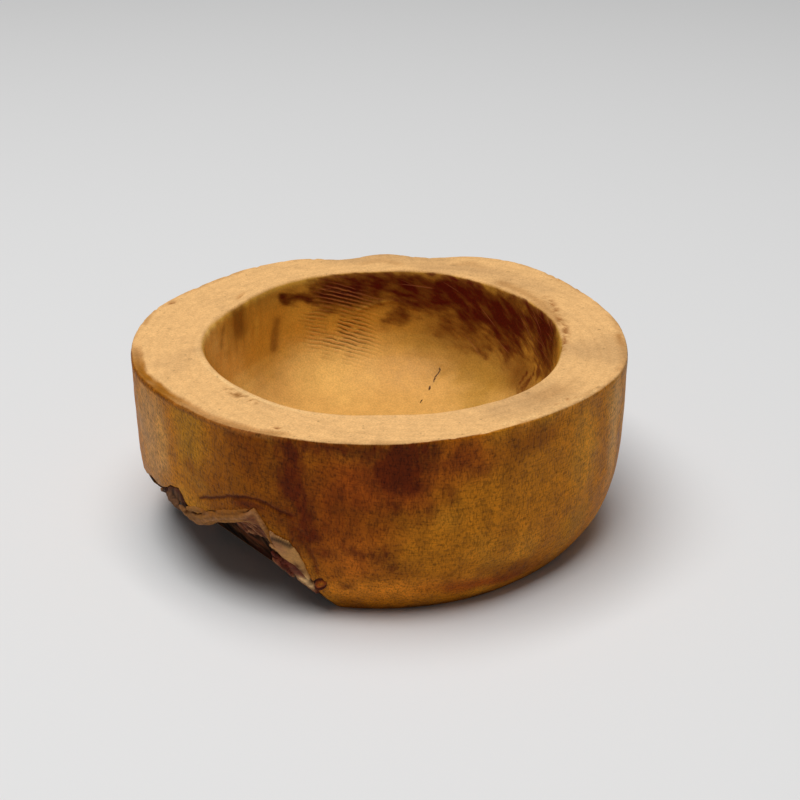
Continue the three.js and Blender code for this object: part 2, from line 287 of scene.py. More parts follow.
rows = [ring(wall[:, 0] * share, 0.0) for share in FOOT_ROWS]
foot_row = len(rows)
rows += [ring(wall[:, k], z) for k, z in enumerate(heights)]
edge_row = len(rows) - 1
rim_radius = wall[:, -1]
bevel = BEVEL_DEPTH
for amount, *wave in BEVEL_WAVES:
    bevel = bevel + amount * fbm(ring(rim_radius, HEIGHT), *wave)
for k in range(1, BEVEL_ROWS + 1):
    t = 0.5 * pi * k / BEVEL_ROWS
    rise = (HEIGHT - WALL_TOP) * sin(t) ** BEVEL_POWER
    rows.append(ring(rim_radius - bevel * (1 - max(cos(t), 0) ** BEVEL_POWER), WALL_TOP + rise))
top_row = len(rows) - 1
inner = ring(hollow[:, 0, 0] + INNER_ROUND, HEIGHT, HOLLOW_X)
outer = rows[-1]
rows += [outer + (inner - outer) * share for share in RIM_ROWS]
inner_row = len(rows) - 1
for k in range(1, LIP_ROWS):
    t = 0.5 * pi * k / LIP_ROWS
    lip_radius = hollow[:, 0, 0] + INNER_ROUND * (1 - sin(t))
    rows.append(ring(lip_radius, HOLLOW_TOP + (HEIGHT - HOLLOW_TOP) * cos(t), HOLLOW_X))
rows += [ring(hollow[:, k, 0], hollow[:, k, 1], HOLLOW_X) for k in range(hollow.shape[1])]
grid = np.stack(rows, 1)
row_count = grid.shape[1]


def grid_normals(points):
    around = np.roll(points, -1, 0) - np.roll(points, 1, 0)
    along = np.gradient(points, axis=1)
    normal = np.cross(around, along)
    return normal / np.maximum(np.linalg.norm(normal, axis=-1, keepdims=True), 1e-9)


def filled_tree(points):
    """Tree that finds the nearest of some points."""
    tree = KDTree(len(points))
    for n, p in enumerate(points.tolist()):
        tree.insert(p, n)
    tree.balance()
    return tree


normals = grid_normals(grid)
steps = np.linalg.norm(np.diff(grid, axis=1), axis=-1)
arc = np.concatenate((np.zeros((columns, 1)), np.cumsum(steps, 1)), 1)
below_edge = arc[:, top_row:top_row + 1] - arc
below_inner = arc - arc[:, inner_row:inner_row + 1]
radius = np.hypot(grid[..., 0], grid[..., 1])
everywhere = np.ones(radius.shape)
row = np.arange(row_count)[None, :]
on_wall = (row >= foot_row) & (row <= edge_row)
on_rim = (row > edge_row) & (row <= inner_row)
in_hollow = row > inner_row
grid_tree = filled_tree(grid.reshape(-1, 3))


def corner_at(pixel):
    """Column and row of the corner nearest to a point of the image."""
    return divmod(grid_tree.find(at_pixel(body_tree, pixel))[1], row_count)


def place(pixel):
    """Distances in mm of all corners from a point of the image: across, and along the profile."""
    i, j = corner_at(pixel)
    across = (theta - theta[i] + pi) % tau - pi
    line = below_inner if j > inner_row else -below_edge
    return across[:, None] * radius[i, j], line - line[i, j]


def line_chart(start, end):
    """Distances of all corners from a line in the image: aside in mm, and along as a share of it."""
    x, y = place(start)
    i, j = corner_at(end)
    dx, dy = x[i, 0], y[i, j]
    length = hypot(dx, dy)
    return (x * dy - y * dx) / length, (x * dx + y * dy) / length ** 2


# Noise on the grid
warp_a = fbm(grid, size=9, octaves=3, seed=3)
warp_b = fbm(grid, size=9, octaves=3, seed=4)
patch = fbm(grid, size=22, octaves=4, seed=5)
speck = fbm(grid, size=2.2, octaves=2, seed=6)
streak = fbm(grid, size=(2.4, 2.4, 26), octaves=3, seed=7)
cloud = fbm(grid, size=45, octaves=3, seed=9)


def blob(middle, half, tilt=0.0, ragged=0.35):
    """Soft ragged oval round a point of the image, 1 in its middle. Half sizes are across and along."""
    across, along = half
    x, y = place(middle)
    x = x + ragged * across * warp_a
    y = y + ragged * along * warp_b
    c, s = cos(radians(tilt)), sin(radians(tilt))
    far = np.hypot((x * c + y * s) / across, (y * c - x * s) / along)
    return np.exp(-far ** 3)


def stroke(pixels, width, ragged=0.3):
    """Soft line through points of the image, 1 along its middle. A thin one is ragged in finer steps."""
    best = np.full(radius.shape, 1e9)
    for start, end in zip(pixels, pixels[1:]):
        x, y = place(start)
        i, j = corner_at(end)
        dx, dy = x[i, 0], y[i, j]
        t = np.clip((x * dx + y * dy) / max(dx * dx + dy * dy, 1e-6), 0, 1)
        best = np.minimum(best, np.hypot(x - t * dx, y - t * dy))
    return np.exp(-((best + ragged * width * (speck if width < 2 else warp_a)) / width) ** 2)


# Tones of the wood
OCHRE = linear(184, 113, 20)
GOLD = linear(204, 136, 36)
OLIVE = linear(172, 115, 22)
PINK = linear(192, 138, 78)
BROWN = linear(128, 66, 6)
RED_BROWN = linear(154, 70, 14)
ORANGE = linear(190, 102, 24)
MAROON = linear(92, 31, 4)
DARK_RED = linear(74, 24, 10)
EDGE_TAN = linear(222, 162, 82)
EDGE_PALE = linear(244, 204, 142)
RIM_TAN = linear(228, 179, 118)
RIM_GREY = linear(200, 156, 104)
RIM_BROWN = linear(164, 112, 58)
FOOT_AMBER = linear(206, 124, 30)
FOOT_BROWN = linear(176, 124, 70)
HOLLOW_GOLD = linear(210, 158, 84)
HOLLOW_AMBER = linear(212, 158, 60)
HOLLOW_OLIVE = linear(184, 138, 56)
HOLLOW_PALE = linear(238, 190, 104)
HOLLOW_BROWN = linear(124, 76, 24)
HOLLOW_MAROON = linear(80, 15, 10)
CRACK_DARK = linear(56, 26, 10)
SCRATCH_PALE = linear(170, 104, 70)
# Painted shade for the troughs of the tool ridges, and painted highlight for their crests
TROUGH_SHADE = linear(62, 20, 8)
CREST_HIGHLIGHT = linear(226, 150, 96)

tint = np.zeros(grid.shape)
wall_dark = np.zeros(radius.shape)
hollow_dark = np.zeros(radius.shape)


def paint(tone, share, within=everywhere):
    """Lays a tone over the colours of the grid, by a share for each corner."""
    share = np.clip(share * within, 0, 1)[..., None]
    tint[:] = tint * (1 - share) + tone * share


def mark(where, *sizes):
    """Blob round a point of the image, or stroke through several."""
    return (blob if np.ndim(where) == 1 else stroke)(where, *sizes)


def paint_all(marks, within=everywhere):
    """Paints marks in turn. Each is a tone, its share, its place in the image and its sizes."""
    for tone, share, *where in marks:
        paint(tone, share * mark(*where), within)


def soak(field, share):
    """Adds a dark stain to a field. The material gives it the dark tone, with a ragged edge."""
    np.maximum(field, share, out=field)


def soak_all(field, marks):
    """Adds stains to a field. Each is a share, its place in the image and its sizes."""
    for share, *where in marks:
        soak(field, share * mark(*where))


# Base of each zone
left_front = side(*LEFT_FRONT)
wall_end = edge_row + 2.5 + 2.4 * left_front + 1.8 * side(*RIGHT_FRONT)
wall_share = ramp(row + 0.4 * warp_a, wall_end + 0.7, wall_end - 0.7) * everywhere
rim_share = 1.0 - wall_share
hollow_share = ramp(below_inner + 0.25 * warp_b, 0.7, 1.8)
foot_share = (row < foot_row) * everywhere
paint(OCHRE, everywhere)
paint(GOLD, ramp(patch, -0.1, 0.6))
paint(BROWN, 0.7 * ramp(cloud + 0.5 * patch, 0.0, 0.7))

# Tones and stains that follow the noise, browner on the sides that the camera doesn't see
behind = ramp(sin_t, -0.1, 0.4)[:, None]
paint(BROWN, 0.55 * behind * ramp(patch + 0.6 * cloud, -0.3, 0.5))
paint(RED_BROWN, 0.85 * behind * ramp(cloud + 0.5 * patch, -0.3, 0.4))
soak(wall_dark, 0.6 * (1 - behind) * ramp(cloud + 0.7 * warp_a - 0.2, 0.3, 1.0))
soak(wall_dark, 0.7 * behind * ramp(cloud + 0.5 * patch + 0.2 * warp_a, 0.0, 0.8))

# Outer wall: the pink facet at its left end, then tones, with a painted highlight down its right edge, and
# dark stains
FACET_FRONT = (172, 440)
FACET_BACK = (128, 420)
FACET_PINK = ((150, 435), (10, 22))
FACET_STRIPE = ((162, 440), (3.5, 11))
OLIVE_BAND = ((188, 440), (7, 18))
WALL_TONES = (
    (BROWN, 0.6, (190, 463), (3, 3.5)),
    (BROWN, 0.6, (222, 452), (8, 15)),
    (BROWN, 1, (252, 454), (10, 15)),
    (RED_BROWN, 0.95, (338, 492), (14, 16)),
    (RED_BROWN, 0.85, (400, 488), (14, 12)),
    (RED_BROWN, 0.8, (462, 463), (12, 9)),
    (BROWN, 0.6, (312, 468), (8, 12)),
    (OCHRE, 0.8, (495, 500), (14, 14)),
    (BROWN, 0.75, (537, 437), (9, 4.5)),
    (BROWN, 0.5, (512, 452), (5, 10)),
    (GOLD, 0.8, (585, 450), (7, 16)),
    # Painted highlight: the pale tan down the wall's right edge
    (EDGE_TAN, 0.8, (615, 425), (4.5, 22)),
    (ORANGE, 0.8, (355, 555), (16, 12)),
    (RED_BROWN, 0.6, (330, 530), (9, 8)),
    (OCHRE, 0.9, (430, 550), (14, 12)),
    (OCHRE, 0.6, (515, 540), (12, 8), -20),
    (FOOT_AMBER, 0.95, (380, 592), (22, 5)),
    (RED_BROWN, 0.95, (490, 582), (20, 3.6), -9),
    (BROWN, 0.8, (512, 568), (16, 4.5), -12),
    (OLIVE, 0.7, (575, 525), (8, 8)),
    (BROWN, 0.7, (298, 532), (6, 9)),
    (BROWN, 0.55, (340, 522), (18, 9)),
    (BROWN, 0.45, (318, 552), (5, 9)),
    (BROWN, 0.6, (275, 516), (9, 8)),
    (BROWN, 0.55, (232, 490), (20, 7)),
    (BROWN, 0.7, (212, 507), (13, 5)),
    (BROWN, 0.6, (250, 507), (12, 6)),
)
WALL_STAINS = (
    (0.34, (245, 442), (12, 7)),
    (1, ((289, 446), (290, 470), (294, 496)), 5),
    (0.85, ((295, 496), (302, 514), (311, 536)), 5),
    (0.75, ((278, 443), (330, 449), (380, 452)), 3.6),
    (0.85, ((372, 454), (402, 455), (430, 453)), 5),
    (1.1, (402, 467), (11, 12), 0, 0.25),
    (0.52, (372, 470), (10, 9)),
    (0.5, (460, 461), (10, 8)),
    (0.52, (449, 497), (3.8, 5)),
    (0.55, (300, 522), (9, 14)),
    (0.42, (335, 510), (16, 12)),
    (0.38, (400, 500), (14, 10)),
    (0.45, (515, 570), (15, 3.5), -12),
)
facet = ramp(place(FACET_FRONT)[0] + 0.6 * warp_a, 1.2, -1.2)
facet = facet * ramp(place(FACET_BACK)[0], -6, 10)
paint(PINK, blob(*FACET_PINK) * facet)
paint(EDGE_TAN, 0.5 * blob(*FACET_STRIPE))
paint(OLIVE, 0.95 * blob(*OLIVE_BAND) * (1 - facet))
paint_all(WALL_TONES)
soak_all(wall_dark, WALL_STAINS)

# Rim: its chamfer and worn edge on the left, a ragged outer edge, then grey and brown marks, and a painted
# highlight along the flat stretch of its inner edge
RIM_MARKS = (
    (RIM_BROWN, 0.45, ((366, 262), (382, 260), (398, 263)), 2.2),
    (RIM_BROWN, 0.4, ((455, 265), (468, 264), (480, 268)), 2.2),
    (RIM_GREY, 0.5, (195, 352), (4, 7)),
    (RIM_GREY, 0.9, (530, 400), (18, 8)),
    (RIM_BROWN, 0.3, (555, 392), (10, 4)),
    (RIM_BROWN, 0.8, ((619, 335), (624, 355), (622, 375)), 1.4),
    (RIM_GREY, 0.55, ((440, 267), (500, 275), (545, 290)), 5),
    (RIM_BROWN, 0.55, ((500, 283), (535, 299), (557, 322)), 2.6),
    (RIM_GREY, 0.7, ((420, 266), (450, 268), (480, 272)), 3),
    (RIM_GREY, 0.8, (592, 352), (9, 17)),
    (RIM_GREY, 0.75, ((335, 260), (380, 257), (435, 260)), 5),
)
paint(RIM_TAN, rim_share)
chamfer_width = -(2.5 + 1.1 * warp_b)
chamfer = side(*CHAMFER_SIDE) * ramp(below_edge, chamfer_width - 0.5, chamfer_width + 0.5) * on_rim
paint(RIM_BROWN, 0.7 * chamfer)
worn_edge = side(*WORN_SIDE) * ramp(below_edge + 0.4 * warp_a, -2.9, -2.1) * on_rim
paint(OLIVE, 0.85 * worn_edge)
paint(BROWN, 0.45 * worn_edge)
paint(BROWN, 0.6 * left_front * wall_share * on_rim)
ragged_edge = ramp(below_edge + 1.1 * warp_a, -1.6, 0.4) * ramp(warp_b, -0.4, 0.5)
paint(RIM_BROWN, 0.45 * rim_share * ragged_edge)
paint(RIM_GREY, 0.4 * rim_share * ramp(patch + 0.5 * warp_b, 0.15, 0.9))
paint_all(RIM_MARKS)
# Painted highlight: a thin pale line on the rim just outside the inner edge, along the flat stretch of the
# mouth
paint(EDGE_PALE, 0.6 * flat * ramp(np.abs(below_inner + 0.6), 0.9, 0.2))

# Hollow: pale and olive grounds, pale patches that are partly painted light, tones, dark stains broken into
# streaks on the right, and gaps in them
BLOTCH = ((399, 316), (6.5, 4), 12)
# Pale wood on the hollow's left wall and floor, made paler there as painted light
HOLLOW_PALE_AND_LIGHT = (
    (HOLLOW_PALE, 0.9, ((205, 338), (218, 356), (236, 376)), 9),
    (HOLLOW_PALE, 0.4, (330, 372), (18, 14)),
    (HOLLOW_PALE, 0.4, (318, 352), (14, 10)),
)
HOLLOW_TONES = (
    (HOLLOW_BROWN, 0.8, (239, 322), (5.5, 9)),
    (HOLLOW_BROWN, 0.5, ((223, 327), (222, 347)), 1),
    (HOLLOW_BROWN, 0.65, ((277, 322), (274, 336), (273, 349)), 2, 0.7),
    (HOLLOW_OLIVE, 0.8, ((258, 300), (288, 290), (318, 281)), 4),
    (HOLLOW_BROWN, 0.8, ((330, 300), (360, 301), (390, 298)), 4.5),
    (HOLLOW_OLIVE, 0.8, (436, 336), (17, 9)),
    (HOLLOW_BROWN, 0.7, *BLOTCH),
    (HOLLOW_BROWN, 0.75, (452, 320), (11, 9)),
    (HOLLOW_BROWN, 0.6, (470, 340), (9, 7)),
    (HOLLOW_BROWN, 0.8, (496, 345), (9, 5)),
    (HOLLOW_OLIVE, 1, (490, 374), (18, 14)),
    (HOLLOW_BROWN, 0.35, (490, 362), (20, 14)),
    (HOLLOW_BROWN, 0.25, (440, 345), (16, 12)),
    (HOLLOW_BROWN, 0.85, (522, 378), (9, 7)),
    (HOLLOW_BROWN, 0.8, ((545, 322), (555, 348), (545, 374)), 6),
)
HOLLOW_STAINS = (
    (0.6, ((284, 299), (310, 297), (335, 292)), 2.8),
    (0.78, ((330, 288), (360, 285), (405, 283)), 8),
    (0.5, *BLOTCH),
    (1, ((405, 284), (440, 290), (470, 296)), 9),
    (0.42, (455, 318), (12, 9)),
    (1, ((470, 300), (495, 312), (515, 324)), 12),
    (1, ((505, 308), (530, 322), (546, 336)), 12),
    (0.4, (478, 342), (12, 6)),
)
RIGHT_STREAKS = (((546, 330), (550, 350), (543, 372)), 6)
RIGHT_WALL = (((530, 340), (542, 360), (530, 380)), 9)
LIP_OLIVES = (
    (HOLLOW_OLIVE, 0.75, ((552, 312), (561, 332), (560, 350)), 6),
    (HOLLOW_OLIVE, 0.4, ((392, 272), (415, 273), (440, 277)), 5),
)
BACK_GAP = (((400, 272), (415, 274), (434, 278)), 1.5)
RIGHT_GAP = (((490, 289), (508, 297), (524, 308)), 2.2)
RIGHT_THIN = ((530, 330), (6, 6))
paint(HOLLOW_GOLD, hollow_share, hollow_share)
paint(HOLLOW_AMBER, hollow_share * ramp(-below_inner + 4 * warp_a, -36, -20), hollow_share)
paint_all(HOLLOW_PALE_AND_LIGHT, hollow_share)
olive_ground = ramp(patch + 0.5 * cloud, 0.0, 0.8) * ramp(below_inner, 40, 25)
paint(HOLLOW_OLIVE, 0.45 * olive_ground, hollow_share)
paint_all(HOLLOW_TONES, hollow_share)
paint_all(LIP_OLIVES, ramp(below_inner, 5.0, 2.5) * hollow_share ** 2)
soak_all(hollow_dark, HOLLOW_STAINS)
soak(hollow_dark, 0.7 * stroke(*RIGHT_STREAKS) * ramp(streak, -0.4, 0.2))
soak(hollow_dark, 0.62 * stroke(*RIGHT_WALL) * ramp(streak, -0.3, 0.3))
in_front = ramp(sin_t, -0.3, -0.7)[:, None] * ramp(below_inner, 24, 8)
soak(hollow_dark, 0.5 * in_front * ramp(cloud + 0.6 * patch, -0.1, 0.5))
gaps = np.maximum(stroke(*BACK_GAP), stroke(*RIGHT_GAP))
hollow_dark *= ramp(below_inner + 0.5 * warp_a, 0.7, 2.0)
hollow_dark *= (1 - 0.5 * gaps) * (1 - 0.3 * blob(*RIGHT_THIN))
paint(HOLLOW_BROWN, 0.55 * gaps, hollow_share)
paint(FOOT_BROWN, foot_share)

# Relief of the surface, in mm along its normal
relief = 0.12 * warp_a * on_rim + 0.3 * patch * (on_wall | in_hollow) + 0.04 * speck
relief -= 0.7 * chamfer * ramp(below_edge, -0.2, -1.6)
edge_chips = ramp(np.abs(below_edge), 2.2, 0.2) * ramp(speck + 0.6 * warp_a, 0.25, 0.7)
relief -= 0.5 * edge_chips * (on_rim | on_wall)

# Gouge marks down the left wall of the hollow
GOUGE_TOWARDS = 160
GOUGE_PITCH = 5.5
left_wall = ramp(np.abs(np.degrees(theta) - GOUGE_TOWARDS), 32, 12)[:, None]
flutes = np.cos((theta * MOUTH_RADIUS / GOUGE_PITCH * tau)[:, None] + 1.5 * warp_a)
relief += 0.3 * flutes * left_wall * ramp(below_inner, 0, 3) * ramp(below_inner, 26, 12)

# Ridges that a blunt tool left on the back wall, finer ones on the blotch beside them, and a bent gouge
RIDGE_MIDDLE = (342, 316)
RIDGE_WAY = (0.34, 0.94)
RIDGE_PITCH = 1.55
UPPER_RIDGES = ((343, 299), (9, 6), -20)
LOWER_RIDGES = ((343, 333), (13, 9), -20)
BLOTCH_WAY = (-0.8, 0.6)
BLOTCH_PITCH = 1.8
GOUGE = (((358, 311), (372, 305), (390, 301), (405, 303), (415, 309)), 0.7)
x, y = place(RIDGE_MIDDLE)
phase = y * RIDGE_WAY[1] + x * RIDGE_WAY[0] + 0.5 * warp_a
chatter = np.maximum(blob(*UPPER_RIDGES), blob(*LOWER_RIDGES)) * ramp(warp_b, -0.7, -0.1) * hollow_share
relief += 0.2 * np.sin(phase * tau / RIDGE_PITCH) * chatter
blotch_phase = y * BLOTCH_WAY[1] + x * BLOTCH_WAY[0]
relief += 0.12 * blob(*BLOTCH) * np.sin(blotch_phase * tau / BLOTCH_PITCH)
gouge = stroke(*GOUGE)
relief += 0.25 * gouge
paint(HOLLOW_AMBER, 0.5 * gouge)

# Crack in the floor of the hollow: the reach of its chart, the depth of its gaps, their lines and half widths
CRACK_DEPTH = 0.3
CRACK_ENDS = ((442, 366), (420, 404))
CRACK_ASIDE = (-9, 9)
CRACK_ALONG = (-1, 2)
CRACK_GAPS = (
    (((442, 367), (440, 377), (437, 381)), 0.38),
    (((433, 384), (430, 389)), 0.5),
    (((422, 399), (420, 403)), 0.45),
)
relief -= CRACK_DEPTH * np.max([stroke(*gap, 0.1) for gap in CRACK_GAPS], axis=0)

# Dents in the rim: a depth, a tone and its share, and what blob takes
DENTS = (
    (0.6, RIM_BROWN, 0.6, (240, 296), (3.5, 0.8), 18),
    (1, BROWN, 0.8, (171, 302), (1.6, 1.2)),
    (0.5, BROWN, 0.9, (277, 427), (1.2, 0.6), -20),
)
for depth, tone, share, *where in DENTS:
    dent = blob(*where)
    relief -= depth * dent
    paint(tone, share * dent)

# Scuffs, pits and chips along the edges of the rim
SCUFFS = (((230, 390), (241, 396.5), (254, 402)), 1.6)
PITS = (((546, 298), (556, 308), (563, 322), (567, 334), (562, 348)), 1.4)
CHIPS = (((505, 424), (540, 414), (575, 401), (606, 383)), 0.9)
CHIP_SHADOWS = (((556, 403), (574, 397)), 0.8)
scuffs = stroke(*SCUFFS) * ramp(speck, -0.05, 0.3)
relief -= 0.35 * scuffs
paint(RIM_BROWN, 0.9 * scuffs)
paint(HOLLOW_BROWN, 0.4 * scuffs)
pits = stroke(*PITS) * ramp(speck + 0.3 * warp_a, -0.2, 0.2)
relief -= 0.6 * pits
paint(BROWN, 0.8 * pits)
chips = stroke(*CHIPS) * ramp(speck, -0.1, 0.3) * rim_share
relief -= 0.3 * chips
paint(EDGE_PALE, 0.5 * chips)
paint(BROWN, 0.7 * stroke(*CHIP_SHADOWS) * ramp(speck, 0.1, 0.4))

# Creases in the wall round the undercut
CREASE_LEFT = ((200, 498), (215, 498), (232, 497), (245, 498))
CREASE_RIGHT = ((258, 500), (268, 506), (280, 512), (292, 517))
CREASE_WIDTH = 0.6
LONG_FOLD = ((300, 538), (308, 550), (314, 562), (318, 575))
SHORT_FOLD = ((296, 530), (310, 543))
FOLD_WIDTH = 0.8
CREASE_MARKS = (
    (MAROON, 0.8, (245, 503.5), (6, 1.8)),
    (OCHRE, 0.35, ((300, 545), (309, 562), (313, 575)), 2.2),
)
crease = stroke(CREASE_LEFT + CREASE_RIGHT, CREASE_WIDTH)
folds = np.maximum(stroke(LONG_FOLD, FOLD_WIDTH), stroke(SHORT_FOLD, FOLD_WIDTH))
relief -= 0.45 * crease + 0.3 * folds
paint_all(CREASE_MARKS)
paint(DARK_RED, 0.9 * crease)
paint(MAROON, 0.75 * folds)


def put(name, data):
    """New object in the scene."""
    obj = bpy.data.objects.new(name, data)
    bpy.context.scene.collection.objects.link(obj)
    return obj


def mesh_object(name, points, faces):
    """New object from corners in mm."""
    mesh = bpy.data.meshes.new(name)
    mesh.from_pydata((points * MM).tolist(), [], faces)
    mesh.validate()
    return put(name, mesh)


def settle(obj):
    """Gives an object the mesh that its modifiers make."""
    bpy.context.view_layer.update()
    mesh = bpy.data.meshes.new_from_object(obj.evaluated_get(bpy.context.evaluated_depsgraph_get()))
    obj.modifiers.clear()
    obj.data = mesh
    mesh.name = obj.name
    return mesh


# Mesh of the bowl, before the undercut
pushed = grid + normals * (relief * ramp(grid[..., 2], 0, CALM_FOOT))[..., None]
pushed[..., 2] = np.clip(pushed[..., 2], 0, HEIGHT + RISE_LIMIT)
points = np.vstack((pushed.reshape(-1, 3), (0.0, 0.0, 0.0), pushed[:, -1].mean(0)))
foot_middle, floor_middle = len(points) - 2, len(points) - 1
faces = []
for i in range(columns):
    a = i * row_count
    b = (i + 1) % columns * row_count
    faces += [(a + j, b + j, b + j + 1, a + j + 1) for j in range(row_count - 1)]
    faces.append((b, a, foot_middle))
    faces.append((a + row_count - 1, b + row_count - 1, floor_middle))
bowl = mesh_object("bowl", points, faces)


def to_plan(out, along):
    """Plan coordinates of a distance out from the axis and one along the wall of the undercut."""
    c, s = cos(FACING), sin(FACING)
    return out * c - along * s, out * s + along * c


def ceiling_at(out, along):
    """Height of the undercut's ceiling at a place, or None outside the wall."""
    x, y = to_plan(out, along)
    hit = cast((x, y, CUT_RAY_FROM), (0, 0, 1))
    if hit is None or hit.z <= CUT_LOWEST:
        return None
    way = (theta - atan2(y, x) + pi) % tau - pi
    limit = np.interp(hit.z, heights, uncut[int(np.argmin(np.abs(way)))])
    return hit.z if hypot(x, y) < limit else None


def ceiling_edge(under, outside, along, height):
    """Height of the ceiling where it meets the wall, between a place under it and one outside."""
    for _ in range(EDGE_HALVINGS):
        middle = 0.5 * (under + outside)
        found = ceiling_at(middle, along)
        if found is None:
            outside = middle
        else:
            under, height = middle, found
    return height


def undercut_ceiling():
    """Grid of points on the undercut's ceiling, read from the CAD body by rays from below."""
    along = np.arange(*CUT_ALONG, CUT_STEP)
    out = np.arange(*CUT_OUT, CUT_STEP)
    top = np.full((len(along), len(out)), -1.0)
    for a in range(len(along)):
        last = -1.0
        was_under = False
        for o in range(len(out)):
            found = ceiling_at(out[o], along[a])
            if found is None and was_under:
                last = ceiling_edge(out[o] - CUT_STEP, out[o], along[a], last)
            elif found is not None:
                last = found
            was_under = found is not None
            top[a, o] = last
    along, out = np.meshgrid(along, out, indexing="ij")
    ceiling = np.stack((*to_plan(out, along), top), -1)
    ceiling[..., 2] += CUT_WAVES * fbm(ceiling, 5, 3, 8) * ramp(top, 0, 6)
    return ceiling


def space_below(upper):
    """Closed solid between a grid of points and the same grid under the floor."""
    lower = upper.copy()
    lower[..., 2] = CUT_FLOOR
    count = upper[..., 0].size
    index = np.arange(count).reshape(upper.shape[:2])
    quads = np.stack((index[:-1, :-1], index[:-1, 1:], index[1:, 1:], index[1:, :-1]), -1).reshape(-1, 4)
    both = np.stack((quads, quads[:, ::-1] + count), 1).reshape(-1, 4)
    border = np.concatenate((index[:, 0], index[-1, 1:], index[-2::-1, -1], index[0, -2:0:-1]))
    after = np.roll(border, -1)
    sides = np.stack((border, after, after + count, border + count), -1)
    faces = np.vstack((both, sides)).tolist()
    return mesh_object("cutter", np.vstack((upper.reshape(-1, 3), lower.reshape(-1, 3))), faces)


cutter = space_below(undercut_ceiling())
cut = bowl.modifiers.new("cut", "BOOLEAN")
cut.operation = "DIFFERENCE"
cut.solver = "MANIFOLD"
cut.object = cutter
carved = settle(bowl)
bpy.data.objects.remove(cutter)


def mesh_points(mesh):
    co = np.zeros(3 * len(mesh.vertices))
    mesh.vertices.foreach_get("co", co)
    return co.reshape(-1, 3) / MM


def dense_line(spots, step=LINE_STEP):
    """Points along a line through some of them, in the image or in space."""
    spots = np.array(spots, float)
    filled = [spots[:1]]
    for a, b in zip(spots, spots[1:]):
        count = max(1, int(np.linalg.norm(b - a) / step))
        filled.append(a + (b - a) * (np.arange(1, count + 1) / count)[:, None])
    return np.vstack(filled)


def near(points, own_tree, pixels, size, step=LINE_STEP, tree=None):
    """Soft patch along a line of the image, 1 in its middle. The line may lie on another surface."""
    spots = [at_pixel(tree or own_tree, pixel) for pixel in dense_line(pixels, step)]
    far = [np.linalg.norm(points - spot, axis=-1) for spot in spots]
    return np.exp(-(np.min(far, axis=0) / size) ** 2)


def across_grain(points):
    """Points turned so that X runs out of the undercut, Y along the wall and Z up."""
    c, s = cos(FACING), sin(FACING)
    out = points[:, 0] * c + points[:, 1] * s
    return np.stack((out, points[:, 1] * c - points[:, 0] * s, points[:, 2]), -1)


def layered(base, layers):
    """Colours of corners: a base tone, then tones laid over it by shares."""
    colours = base
    for tone, share in layers:
        share = np.clip(share, 0, 1)[:, None]
        colours = colours * (1 - share) + tone * share
    return colours


def mark_layers(points, own_tree, marks):
    """Layers of marks on a piece. Each is a tone, its share, and what near takes from its line on."""
    return [(tone, share * near(points, own_tree, *where)) for tone, share, *where in marks]


def fibre_layers(fibres, tones):
    """Layers that follow a noise. Each is a tone, its share, and the values where it begins and is full."""
    return [(tone, share * ramp(fibres, begins, full)) for tone, share, begins, full in tones]


def dress(mesh, colours, charts):
    """Stores the colours on a mesh, and the charts of its marks."""
    attribute = mesh.attributes.new("tint", "FLOAT_COLOR", "POINT")
    attribute.data.foreach_set("color", np.column_stack((colours, np.ones(len(colours)))).ravel())
    for name, values in charts.items():
        attribute = mesh.attributes.new(name, "FLOAT_VECTOR", "POINT")
        attribute.data.foreach_set("vector", values.ravel())
    mesh.shade_smooth()


# Tones of the bark, the darkest also the painted shade of the undercut's void, and marks on the undercut's
# ceiling
BARK_BROWN = linear(116, 78, 50)
BARK_DARK_AND_SHADE = linear(34, 21, 15)
BARK_RED = linear(110, 45, 28)
BARK_PALE = linear(196, 142, 80)
BARK_OLIVE = linear(154, 102, 46)
BARK_TAN = linear(176, 122, 78)
BARK_TIP = linear(250, 204, 140)
BARK_RUST = linear(122, 68, 40)
BARK_HONEY = linear(142, 85, 27)
LEFT_CORNER = ((149, 472), (156, 480), (162, 486))
CEILING_MARKS = (
    (BARK_RED, 0.7, ((262, 552), (280, 568), (298, 584)), 5),
    (BARK_TAN, 0.9, LEFT_CORNER, 2.5),
    (BARK_RUST, 0.9, ((240, 530), (250, 537), (260, 543)), 2.4),
    (BARK_TAN, 0.6, ((236, 529), (247, 538), (258, 546)), 0.8),
)

# Colours and charts of the carved mesh: corners off the grid's skin and off the floor are the ceiling's
OFF_SKIN = (0.25, 0.45)
OFF_FLOOR = (0.02, 0.3)
SHARP_FROM = 50
CHART_RADIUS = 60
corners = mesh_points(carved)
skin_tree = filled_tree(points)
found = [skin_tree.find(p)[1:] for p in corners.tolist()]
source = np.array([index for index, _ in found])
off_skin = ramp(np.array([gap for _, gap in found]), *OFF_SKIN)
is_ceiling = (off_skin * ramp(corners[:, 2], *OFF_FLOOR))[:, None]


def spread(*values):
    """Values of the grid at the corners of the carved mesh, side by side."""
    values = np.stack(values, -1)
    middle = values[:, (0, -1)].mean(0)
    return np.concatenate((values.reshape(columns * row_count, -1), middle.reshape(2, -1)))[source]


